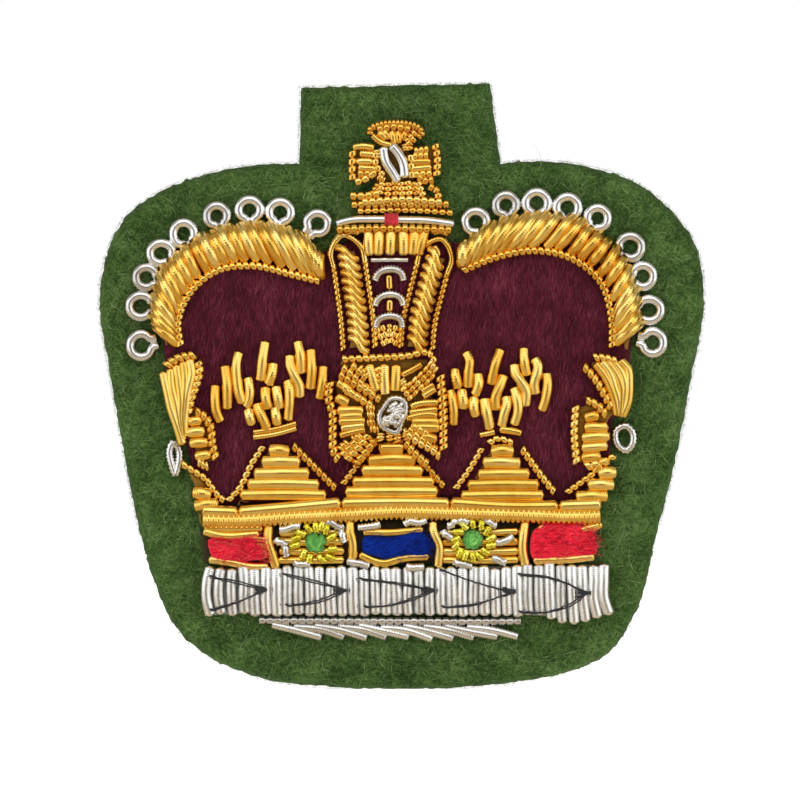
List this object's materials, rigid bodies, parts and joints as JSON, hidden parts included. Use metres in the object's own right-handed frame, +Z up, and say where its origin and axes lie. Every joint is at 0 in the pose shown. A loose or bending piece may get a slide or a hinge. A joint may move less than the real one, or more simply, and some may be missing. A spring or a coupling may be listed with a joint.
{
  "type": "embroidered cap badge",
  "caption": "Flat hand-embroidered crown badge: padded gold and silver purl work on a shaped green felt backing with a sewing tab, flat at the back.",
  "frame": {"origin": "middle of the flat back face, behind the centre of the felt", "axes": "+X to the viewer's right and +Z up as the badge is worn; +Y out of the back, so the embroidered front faces -Y"},
  "size_m": [0.0502, 0.0048, 0.0503],
  "materials": {
    "lining": "stiff black buckram",
    "green_felt": "wool felt",
    "maroon_cloth": "fine wool cloth",
    "padding": "yellow felt core",
    "gold_smooth": "gilt smooth purl",
    "gold_rough": "gilt check and pearl purl",
    "silver": "silver-plated purl",
    "ermine_silver": "silver-plated purl",
    "red_felt": "red wool felt",
    "blue_cloth": "blue silk",
    "green_thread": "green silk thread",
    "yellow_purl": "bright lemon-gold chips",
    "black_thread": "black cotton thread"
  },
  "bodies": {
    "root": {"back_lining": "lining", "backing_felt": "green_felt", "cap_cloth": "maroon_cloth", "arch_padding_left": "padding", "arch_padding_right": "padding", "arch_purl_left": "gold_smooth", "arch_purl_right": "gold_smooth", "arch_edge_left": "gold_rough", "arch_edge_right": "gold_rough", "rib_purl_left": "gold_smooth", "rib_purl_right": "gold_smooth", "rib_border_left": "gold_rough", "rib_border_right": "gold_rough", "column_pearls": "silver", "orb_purl": "gold_smooth", "orb_band": "silver", "top_cross": "gold_rough", "top_cross_gem": "silver", "pearl_loop_left_1": "silver", "pearl_loop_left_2": "silver", "pearl_loop_left_3": "silver", "pearl_loop_left_4": "silver", "pearl_loop_left_5": "silver", "pearl_loop_left_6": "silver", "pearl_loop_left_7": "silver", "pearl_loop_left_8": "silver", "pearl_loop_left_9": "silver", "pearl_loop_right_1": "silver", "pearl_loop_right_2": "silver", "pearl_loop_right_3": "silver", "pearl_loop_right_4": "silver", "pearl_loop_right_5": "silver", "pearl_loop_right_6": "silver", "pearl_loop_right_7": "silver", "pearl_loop_right_8": "silver", "pearl_loop_right_9": "silver", "spray_left": "gold_smooth", "spray_right": "gold_smooth", "spray_collar_left": "gold_rough", "spray_collar_right": "gold_rough", "point_far_left": "gold_smooth", "point_left": "gold_smooth", "point_centre": "gold_smooth", "point_right": "gold_smooth", "point_far_right": "gold_smooth", "front_cross": "gold_rough", "front_cross_gem": "silver", "side_cross_left": "gold_rough", "side_cross_right": "gold_rough", "side_pearl_left": "silver", "side_pearl_right": "silver", "circlet_rope": "gold_smooth", "jewel_band": "gold_smooth", "ruby_left": "red_felt", "ruby_right": "red_felt", "sapphire": "blue_cloth", "emerald_left": "green_thread", "emerald_right": "green_thread", "ermine_purl": "ermine_silver", "ermine_fringe": "ermine_silver"}
  },
  "joints": []
}
